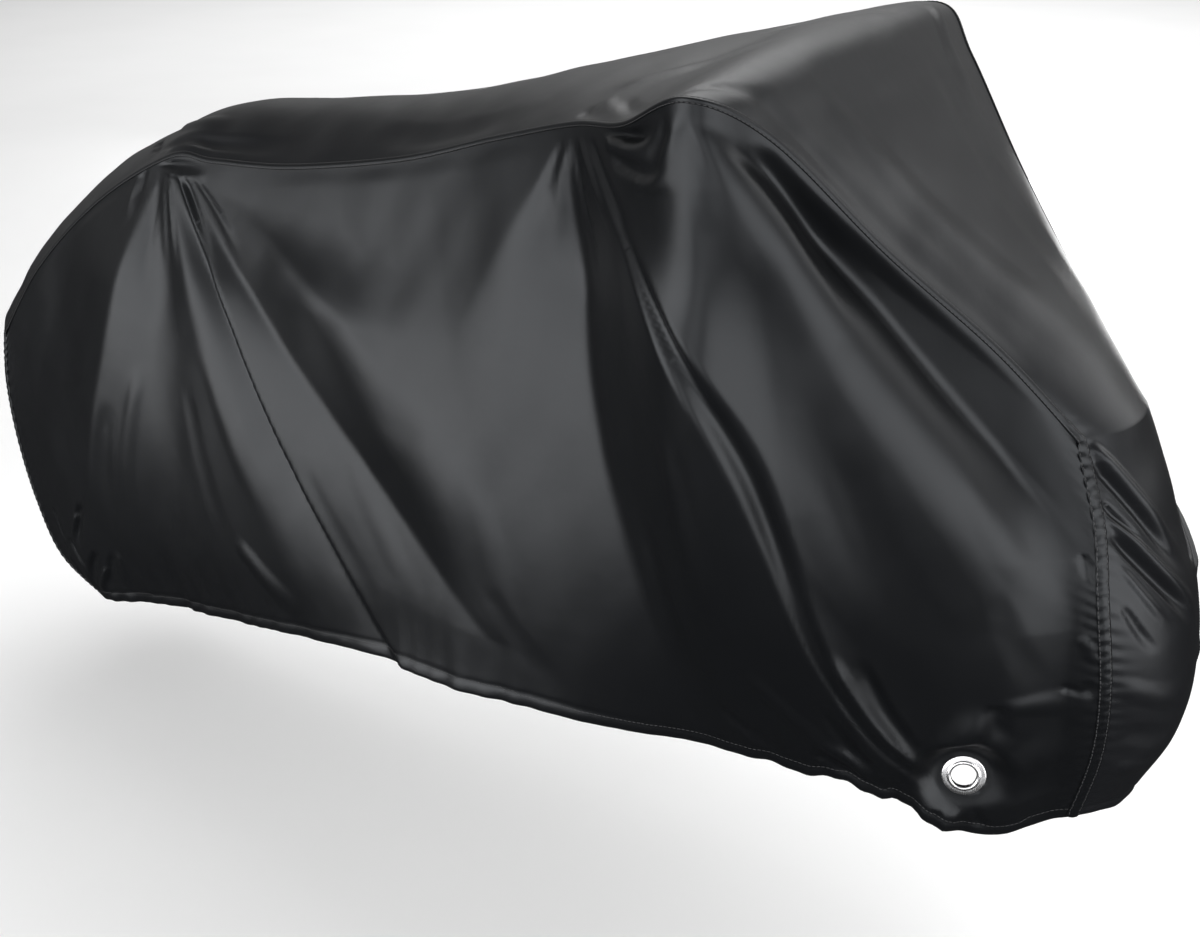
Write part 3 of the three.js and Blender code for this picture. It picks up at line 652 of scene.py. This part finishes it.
def stitches(name, rows, length, width, material):
    """Stitches along rows of points: each row is (points, outward normals). Every stitch is a capsule,
    whose radius is the root of a sine along it; they stand a gap apart."""
    phi = np.linspace(0.12, np.pi - 0.12, STITCH_LONG)
    theta = np.linspace(0, 2 * np.pi, STITCH_ROUND, endpoint=False)
    long = -np.cos(phi)[:, None] + 0 * theta
    wide = np.sqrt(np.sin(phi))[:, None] * np.cos(theta)
    high = np.sqrt(np.sin(phi))[:, None] * np.sin(theta)
    ring = np.arange(STITCH_LONG * STITCH_ROUND).reshape(STITCH_LONG, STITCH_ROUND)
    turned = np.roll(ring, -1, 1)
    sides = np.stack([ring[:-1], ring[1:], turned[1:], turned[:-1]], -1).reshape(-1, 4)
    points, quads = [], []
    count = 0
    for line, normals in rows:
        reach = distances(line[None])[0]
        centres = np.arange(length, reach[-1] - length, STITCH_SPACING * length)
        at, out = (np.stack([np.interp(centres, reach, part[:, i]) for i in range(3)], -1)
                   for part in (line, normals))
        run = unit(np.stack([np.interp(centres, reach, np.gradient(line[:, i])) for i in range(3)], -1))
        out = unit(out - (out * run).sum(-1, keepdims=True) * run)
        side = np.cross(run, out)
        parts = [(run, long * length / 2), (side, wide * width / 2), (out, high * width / 3)]
        body = at[:, None, None] + sum(
            direction[:, None, None] * share[None, ..., None] for direction, share in parts)
        points.append(body.reshape(-1, 3))
        first = ring.size * (count + np.arange(len(at)))
        quads.append((sides[None] + first[:, None, None]).reshape(-1, 4))
        count += len(at)
    mesh = bpy.data.meshes.new(name)
    points, quads = np.concatenate(points) * MM - ORIGIN, np.concatenate(quads)
    mesh.from_pydata(points.tolist(), [], quads.tolist())
    mesh.shade_smooth()
    mesh.materials.append(material)
    return linked(name, mesh)


def turned(name, section, side_sign, material, steps=96):
    """A ring turned round an eyelet's axis from its section, pairs of diameter and height in order
    round it. side_sign is -1 on the right side and +1 on the left."""
    centre, axis = eyelet_frame()
    mirror = np.array([1, -side_sign, 1])
    centre, axis = centre * mirror, axis * mirror
    one = unit(np.cross(axis, [0, 0, 1.0]))
    two = np.cross(axis, one)
    angle = np.linspace(0, 2 * np.pi, steps, endpoint=False)[:, None, None]
    radius, height = np.array([*section, section[0]], float).T[..., None] * [[[0.5]], [[1.0]]]
    grid = centre + radius * (np.cos(angle) * one + np.sin(angle) * two) + height * axis
    return grid_mesh(name, grid, material, ring=True)


# ---- Materials -----------------------------------------------------------------------------------
class Wire:
    """An output of a shader node that can be reckoned with like a number."""

    def __init__(self, shading, socket):
        self.shading, self.socket = shading, socket

    def reckon(self, operation, *values):
        node = self.shading.node("ShaderNodeMath", {"operation": operation}, dict(enumerate(values)))
        return Wire(self.shading, node.outputs[0])

    def __add__(self, other):
        return self.reckon("ADD", self, other)

    def __sub__(self, other):
        return self.reckon("SUBTRACT", self, other)

    def __rsub__(self, other):
        return self.reckon("SUBTRACT", other, self)

    def __mul__(self, other):
        return self.reckon("MULTIPLY", self, other)

    __radd__, __rmul__ = __add__, __mul__

    def sine(self):
        return self.reckon("SINE", self)


class Shading:
    """The nodes of one new material, joined to its Principled shader."""

    def __init__(self, name):
        self.material = bpy.data.materials.new(name)
        self.material.use_nodes = True
        self.shader = self.material.node_tree.nodes["Principled BSDF"]

    def node(self, kind, settings, values):
        """A node of a kind, with its settings and its inputs set to values or joined to wires."""
        node = self.material.node_tree.nodes.new(kind)
        for name, value in settings.items():
            setattr(node, name, value)
        self.fill(node, values)
        return node

    def fill(self, node, values):
        for name, value in values.items():
            if isinstance(value, Wire):
                self.material.node_tree.links.new(value.socket, node.inputs[name])
            else:
                node.inputs[name].default_value = value

    def out(self, node, name):
        return Wire(self, node.outputs[name])

    def noise(self, scale, detail=3, stretch=(1, 1, 1)):
        """Noise between 0 and 1 in the object's own metres; scale is its features in a metre."""
        place = self.out(self.node("ShaderNodeTexCoord", {}, {}), "Object")
        mapping = self.node("ShaderNodeMapping", {}, {"Vector": place, "Scale": stretch})
        values = {"Vector": self.out(mapping, "Vector"), "Scale": scale, "Detail": detail}
        return self.out(self.node("ShaderNodeTexNoise", {}, values), "Fac")

    def mix(self, share, one, two):
        """A colour between two colours. The node's inputs 0, 6 and 7 are its factor and colours."""
        node = self.node("ShaderNodeMix", {"data_type": "RGBA"}, {0: share, 6: (*one, 1), 7: (*two, 1)})
        return self.out(node, 2)

    def bump(self, height, strength, depth, below=None):
        """The normal of a rough surface: height times depth, over the normal of a coarser one."""
        values = {"Height": height, "Strength": strength, "Distance": depth}
        if below:
            values["Normal"] = below
        return self.out(self.node("ShaderNodeBump", {}, values), "Normal")


def shades(colour, *shares):
    """The colour times each share."""
    return [tuple(part * share for part in colour) for share in shares]


def cloth_material(name, colour):
    """Polyester with a satin coating: a fine plain weave under it, faint crinkles from wear, and a
    colour and gloss that vary a little from place to place."""
    shading = Shading(name)
    uv = shading.out(shading.node("ShaderNodeUVMap", {"uv_map": "cloth"}, {}), "UV")
    split = shading.node("ShaderNodeSeparateXYZ", {}, {"Vector": uv})
    warp, weft = shading.out(split, "X"), shading.out(split, "Y")
    turns = 2 * math.pi / WEAVE_PITCH
    weave = (warp * turns).sine() * (weft * turns).sine()
    crinkle = shading.noise(38, detail=5)
    broad = shading.noise(5, detail=2)
    normal = shading.bump(crinkle, strength=0.22, depth=0.0012)
    normal = shading.bump(weave, strength=0.12, depth=0.00012, below=normal)
    dark, light = shades(colour, 0.86, 1.14)
    shading.fill(shading.shader, {
        "Base Color": shading.mix(broad * 0.7 + crinkle * 0.3, dark, light),
        "Roughness": 0.31 + 0.07 * broad + 0.04 * crinkle,
        "Normal": normal,
        "Specular IOR Level": 0.17, "Specular Tint": (0.92, 0.955, 1.0, 1),
    })
    return shading.material


def thread_material(name, colour):
    """Twisted polyester thread: a little lighter than the cloth and without gloss."""
    shading = Shading(name)
    fibre = shading.noise(1500, detail=2)
    dark, light = shades(colour, 0.8, 1.2)
    shading.fill(shading.shader, {
        "Base Color": shading.mix(fibre, dark, light), "Roughness": 0.6 + 0.1 * fibre,
        "Normal": shading.bump(fibre, strength=0.4, depth=0.0002), "Specular IOR Level": 0.3})
    return shading.material


def nickel_material(name, colour):
    """Bright nickel plate: fine brushing round it and slight dulling from handling."""
    shading = Shading(name)
    brushed = shading.noise(900, detail=4, stretch=(1, 1, 0.15))
    worn = shading.noise(60)
    dull, = shades(colour, 0.82)
    shading.fill(shading.shader, {
        "Base Color": shading.mix(worn, dull, colour), "Metallic": 1.0,
        "Roughness": 0.16 + 0.14 * worn + 0.05 * brushed,
        "Normal": shading.bump(brushed, strength=0.12, depth=0.0001)})
    return shading.material


def floor_material(name, colour):
    """Smooth pale studio floor with a barely uneven tone."""
    shading = Shading(name)
    tone = shading.noise(1.5)
    dark, light = shades(colour, 0.97, 1.03)
    shading.fill(shading.shader, {
        "Base Color": shading.mix(tone, dark, light), "Roughness": 0.75 + 0.05 * tone,
        "Specular IOR Level": 0.2})
    return shading.material


# ---- Settings ------------------------------------------------------------------------------------
class CoverSizes(bpy.types.PropertyGroup):
    """Sizes of the cover that can be changed before its pieces are made."""

    fine_folds: FloatProperty(
        name="Fine folds", description="Share of the wrinkles and slack that is kept",
        default=1.0, min=0.0, max=1.5, subtype="FACTOR")
    cloth_thickness: FloatProperty(
        name="Cloth thickness", description="Thickness of the coated cloth",
        default=0.001, min=0.0003, max=0.003, unit="LENGTH")
    gather: FloatProperty(
        name="Hem gathers", description="Height of the waves that the elastic draws into the hem",
        default=0.0045, min=0.0, max=0.012, unit="LENGTH")
    hem_width: FloatProperty(
        name="Hem width", description="Width of the doubled hem",
        default=0.018, min=0.01, max=0.04, unit="LENGTH")
    pucker: FloatProperty(
        name="Seam puckers", description="Height of the puckers beside the front and rear seams",
        default=0.0008, min=0.0, max=0.003, unit="LENGTH")
    top_seam: FloatProperty(
        name="Top seam width", description="Width of the felled seam along the top",
        default=0.009, min=0.004, max=0.03, unit="LENGTH")
    front_seam: FloatProperty(
        name="Front seam width", description="Width of the felled seam down the front and the tail",
        default=0.016, min=0.004, max=0.03, unit="LENGTH")
    stitch: FloatProperty(
        name="Stitch length", description="Length of one stitch", default=0.0045, min=0.002, max=0.01,
        unit="LENGTH")


class CoverColours(bpy.types.PropertyGroup):
    """Colours of the cover and its stage."""

    # The side cloths are the same polyester as the centre cloth but are set darker: this is painted
    # shade on the sides, and it leaves the top lighter.
    side: FloatVectorProperty(
        name="Side cloth", description="Colour of the side cloths", size=3, subtype="COLOR",
        default=(0.0022, 0.0024, 0.0028), min=0, max=1)
    centre: FloatVectorProperty(
        name="Centre cloth", description="Colour of the centre cloth", size=3, subtype="COLOR",
        default=(0.0036, 0.0038, 0.0044), min=0, max=1)
    thread: FloatVectorProperty(
        name="Thread", description="Colour of the stitches", size=3, subtype="COLOR",
        default=(0.022, 0.022, 0.023), min=0, max=1)
    nickel: FloatVectorProperty(
        name="Eyelet", description="Colour of the plated eyelets", size=3, subtype="COLOR",
        default=(0.5, 0.5, 0.51), min=0, max=1)
    floor: FloatVectorProperty(
        name="Floor", description="Colour of the studio floor", size=3, subtype="COLOR",
        default=(0.86, 0.86, 0.86), min=0, max=1)


def grids():
    """The cloths' grids at the sizes now set."""
    sizes = bpy.context.scene.cover_sizes
    return cloth_grids(sizes.fine_folds, *(value / MM for value in (
        sizes.gather, sizes.hem_width, sizes.pucker)))


# ---- Operators -----------------------------------------------------------------------------------
SIDE_LENGTHS = ("rear", "middle", "front")
CENTRE_LENGTHS = ("rear", "saddle", "tank", "fairing", "front")


class COVER_OT_side_cloths(bpy.types.Operator):
    """Make the two side cloths, each with the hole for its eyelet"""

    bl_idname = "cover.side_cloths"
    bl_label = "Side cloths"

    def execute(self, context):
        material = cloth_material("side_cloth", context.scene.cover_colours.side)
        right, left, _ = grids()
        for side, grid, flip in (("right", right, True), ("left", left, False)):
            hole = from_eyelet(grid if flip else mirrored(grid))[1] < EYELET_BARREL / 2 + HOLE_GAP
            hole &= grid[..., 0] > EYELET_X - EYELET_FLANGE
            piece = grid_mesh(f"{side}_side_cloth", grid, material, flip, hole)
            thicken(piece, context.scene.cover_sizes.cloth_thickness)
            nodes = [f"side_panel_{side}_{length}" for length in SIDE_LENGTHS]
            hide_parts(*nodes, f"eyelet_patch_{side}")
        return {"FINISHED"}


class COVER_OT_centre_cloth(bpy.types.Operator):
    """Make the long cloth that runs from the rear hem over the top to the front hem"""

    bl_idname = "cover.centre_cloth"
    bl_label = "Centre cloth"

    def execute(self, context):
        material = cloth_material("centre_cloth", context.scene.cover_colours.centre)
        piece = grid_mesh("centre_cloth", grids()[2], material)
        thicken(piece, context.scene.cover_sizes.cloth_thickness)
        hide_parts(*(f"center_panel_{length}" for length in CENTRE_LENGTHS))
        return {"FINISHED"}


def seam_strip(side, centre, handed, half):
    """The felled seam between a side cloth and the centre cloth, as a grid of points. Each point stands
    off the seam by its share s of half, in the plane of the cloth on its side, and is raised by the
    strip's edge height plus its rise times 1 - s^6. A wide strip has a small wave along it, which
    fades to its edges after 1 - s². handed is +1 on the right. Also gives the outward normals."""
    seam = seam_of(side)
    run = unit(np.gradient(seam, axis=0))
    side_out = seam_of(grid_normals(side, -handed))
    column = 0 if handed > 0 else -1
    centre_out = grid_normals(centre, 1)[:, column]
    into_side = handed * unit(np.cross(run, side_out))
    into_centre = -handed * unit(np.cross(run, centre_out))
    share = np.linspace(-1, 1, STRIP_POINTS)[None, :, None]
    blend = smooth((share + 1) / 2)
    into = np.where(share < 0, into_side[:, None], into_centre[:, None])
    out = unit(side_out[:, None] * (1 - blend) + centre_out[:, None] * blend)
    along = distances(seam[None])[0][:, None, None]
    drifted = along + 6 * np.sin(along / 37)
    wave = STRIP_WAVE * np.sin(2 * np.pi * drifted / STRIP_WAVE_LENGTH) * (1 - share**2)
    lift = STRIP_EDGE + STRIP_RISE * (1 - share**6) + wave * (half[:, None, None] > STRIP_WIDE)
    return seam[:, None] + into * np.abs(share) * half[:, None, None] + out * lift, out


class COVER_OT_seams(bpy.types.Operator):
    """Make the felled seams between the cloths, and the stitches of seams and hems"""

    bl_idname = "cover.seams"
    bl_label = "Seams and stitches"

    def execute(self, context):
        sizes, colours = context.scene.cover_sizes, context.scene.cover_colours
        cloth = cloth_material("seam_cloth", colours.side)
        thread = thread_material("thread", colours.thread)
        right, left, centre = grids()
        for name, side, handed in (("right", right, 1), ("left", left, -1)):
            seam = seam_of(side)
            place = np.arange(len(seam))
            steep = smooth((CELLS_DOWN - place) / STRIP_CHANGE + 0.5)
            steep += smooth((place - CELLS_DOWN - CELLS_ALONG) / STRIP_CHANGE + 0.5)
            half = (sizes.top_seam + (sizes.front_seam - sizes.top_seam) * steep) / 2 / MM
            strip, out = seam_strip(side, centre, handed, half)
            piece = grid_mesh(f"{name}_seam", strip, cloth, flip=handed < 0)
            thicken(piece, STRIP_THICKNESS * MM)
            hem = self.hem_row(side, sizes.hem_width / MM, -handed)
            rows = [(strip[:, i], out[:, i]) for i in (1, STRIP_POINTS - 2)] + [hem]
            sewn = stitches(f"{name}_stitches", rows, sizes.stitch / MM, STITCH_WIDTH, thread)
        return {"FINISHED"}

    @staticmethod
    def hem_row(side, width, sign):
        """The row of points one hem's width above the edge of a side cloth, and its normals."""
        above = distances(side[:, ::-1])
        column = -1 - (above < width).sum(1).clip(1, MOST_HEM_CELLS)
        rows = np.arange(len(side))
        normals = grid_normals(side, sign)
        return side[rows, column] + normals[rows, column] * STITCH_LIFT, normals[rows, column]


class COVER_OT_eyelets(bpy.types.Operator):
    """Make the two lock eyelets and their washers"""

    bl_idname = "cover.eyelets"
    bl_label = "Eyelets"

    def execute(self, context):
        nickel = nickel_material("nickel_plate", context.scene.cover_colours.nickel)
        angle = np.linspace(math.pi, 0, 9)
        middle, reach = (EYELET_HOLE + LIP) / 2, (LIP - EYELET_HOLE) / 2
        lip = np.stack([middle + reach * np.cos(angle),
                        FLANGE_HEIGHT + (LIP_HEIGHT - FLANGE_HEIGHT) * np.sin(angle)], -1)
        face = [(EYELET_HOLE, BEHIND + 0.4), *lip, (LIP + 1.5, FLANGE_HEIGHT),
                (EYELET_FLANGE - 2.5, FLANGE_HEIGHT), (EYELET_FLANGE - 0.8, FLANGE_HEIGHT - 0.3),
                (EYELET_FLANGE, FLANGE_HEIGHT - 0.9), (EYELET_FLANGE, 0.3), (EYELET_BARREL, 0.3),
                (EYELET_BARREL, BEHIND), (EYELET_BARREL + 4, BEHIND),
                (EYELET_BARREL + 3.4, BEHIND - 0.8), (EYELET_BARREL, BEHIND - 1.2),
                (EYELET_HOLE + 1.5, BEHIND - 0.6)]
        inner, back = EYELET_BARREL + 0.6, BEHIND + 0.3
        front = back + WASHER_THICKNESS
        washer = [(inner, back), (inner, front), (WASHER - 1, front), (WASHER, front - 0.4),
                  (WASHER, back + 0.4), (WASHER - 1, back)]
        for side, sign in (("right", -1), ("left", 1)):
            for node, section in ((f"eyelet_{side}", face), (f"eyelet_washer_{side}", washer)):
                piece = turned(f"{node}_plated", section, sign, nickel)
                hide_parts(node)
        return {"FINISHED"}


class COVER_OT_stage(bpy.types.Operator):
    """Make the floor, the studio lights and the camera"""

    bl_idname = "cover.stage"
    bl_label = "Stage"

    def execute(self, context):
        bpy.ops.mesh.primitive_plane_add(size=FLOOR_SIZE, location=(0, 0, -SADDLE_Z))
        floor = context.object
        floor.name = "floor"
        floor.data.materials.append(floor_material("floor", context.scene.cover_colours.floor))
        floor.visible_glossy = False  # the cloth mirrors the dim lower half of the studio instead,
        floor.visible_shadow = False  # and the softboxes, which reach below the floor
        self.studio(context)
        for softbox in SOFTBOXES:
            self.lamp(*softbox)
        self.camera(context)
        context.scene.view_settings.view_transform = "Standard"
        return {"FINISHED"}

    @staticmethod
    def studio(context):
        """White surroundings: bright above the horizon, dim below it, with a soft change between."""
        world = bpy.data.worlds.new("studio")
        context.scene.world = world
        world.use_nodes = True
        nodes, links = world.node_tree.nodes, world.node_tree.links
        direction = nodes.new("ShaderNodeTexCoord")
        split = nodes.new("ShaderNodeSeparateXYZ")
        strength = nodes.new("ShaderNodeMapRange")
        brightness = {"From Min": -0.12, "From Max": 0.08, "To Min": 0.03, "To Max": 0.38}
        for name, value in brightness.items():
            strength.inputs[name].default_value = value
        background = nodes["Background"]
        background.inputs["Color"].default_value = (1, 1, 1, 1)
        links.new(direction.outputs["Generated"], split.inputs["Vector"])
        links.new(split.outputs["Z"], strength.inputs["Value"])
        links.new(strength.outputs["Result"], background.inputs["Strength"])

    @staticmethod
    def lamp(name, place, target, size, power):
        """A rectangular softbox at a place, turned to a target."""
        data = bpy.data.lights.new(name, "AREA")
        data.shape = "RECTANGLE"
        data.size, data.size_y = size
        data.energy = power
        softbox = bpy.data.objects.new(name, data)
        bpy.context.scene.collection.objects.link(softbox)
        softbox.location = place
        softbox.visible_camera = False
        softbox.rotation_euler = (Vector(target) - Vector(place)).to_track_quat("-Z", "Y").to_euler()

    @staticmethod
    def camera(context):
        """The camera, to the right of the nose and looking down at the cover."""
        lens = bpy.data.cameras.new("camera")
        lens.lens = CAMERA_LENS
        camera = bpy.data.objects.new("camera", lens)
        context.scene.collection.objects.link(camera)
        camera.location = tuple(np.array(CAMERA_PLACE) - ORIGIN)
        turn, dip = math.radians(CAMERA_TURN), math.radians(CAMERA_DIP)
        look = Vector((-math.sin(turn) * math.cos(dip), math.cos(turn) * math.cos(dip), -math.sin(dip)))
        camera.rotation_euler = look.to_track_quat("-Z", "Y").to_euler()
        context.scene.camera = camera


OPERATORS = (COVER_OT_side_cloths, COVER_OT_centre_cloth, COVER_OT_seams, COVER_OT_eyelets,
             COVER_OT_stage)


class COVER_PT_panel(bpy.types.Panel):
    """The cover's settings and the operators that make its pieces"""

    bl_idname = "COVER_PT_panel"
    bl_label = "Motorcycle cover"
    bl_space_type = "VIEW_3D"
    bl_region_type = "UI"
    bl_category = "Cover"

    def draw(self, context):
        for group in (context.scene.cover_sizes, context.scene.cover_colours):
            box = self.layout.box()
            for name in group.bl_rna.properties.keys():
                if name not in {"rna_type", "name"}:
                    box.prop(group, name)
        for operator in OPERATORS:
            self.layout.operator(operator.bl_idname)


CLASSES = (CoverSizes, CoverColours, *OPERATORS, COVER_PT_panel)


def register():
    for kind in CLASSES:
        bpy.utils.register_class(kind)
    bpy.types.Scene.cover_sizes = PointerProperty(type=CoverSizes)
    bpy.types.Scene.cover_colours = PointerProperty(type=CoverColours)


def unregister():
    del bpy.types.Scene.cover_sizes
    del bpy.types.Scene.cover_colours
    for kind in reversed(CLASSES):
        bpy.utils.unregister_class(kind)


def main():
    register()
    for operator in OPERATORS:
        getattr(bpy.ops.cover, operator.bl_idname.split(".")[1])()


if __name__ == "__main__":
    main()
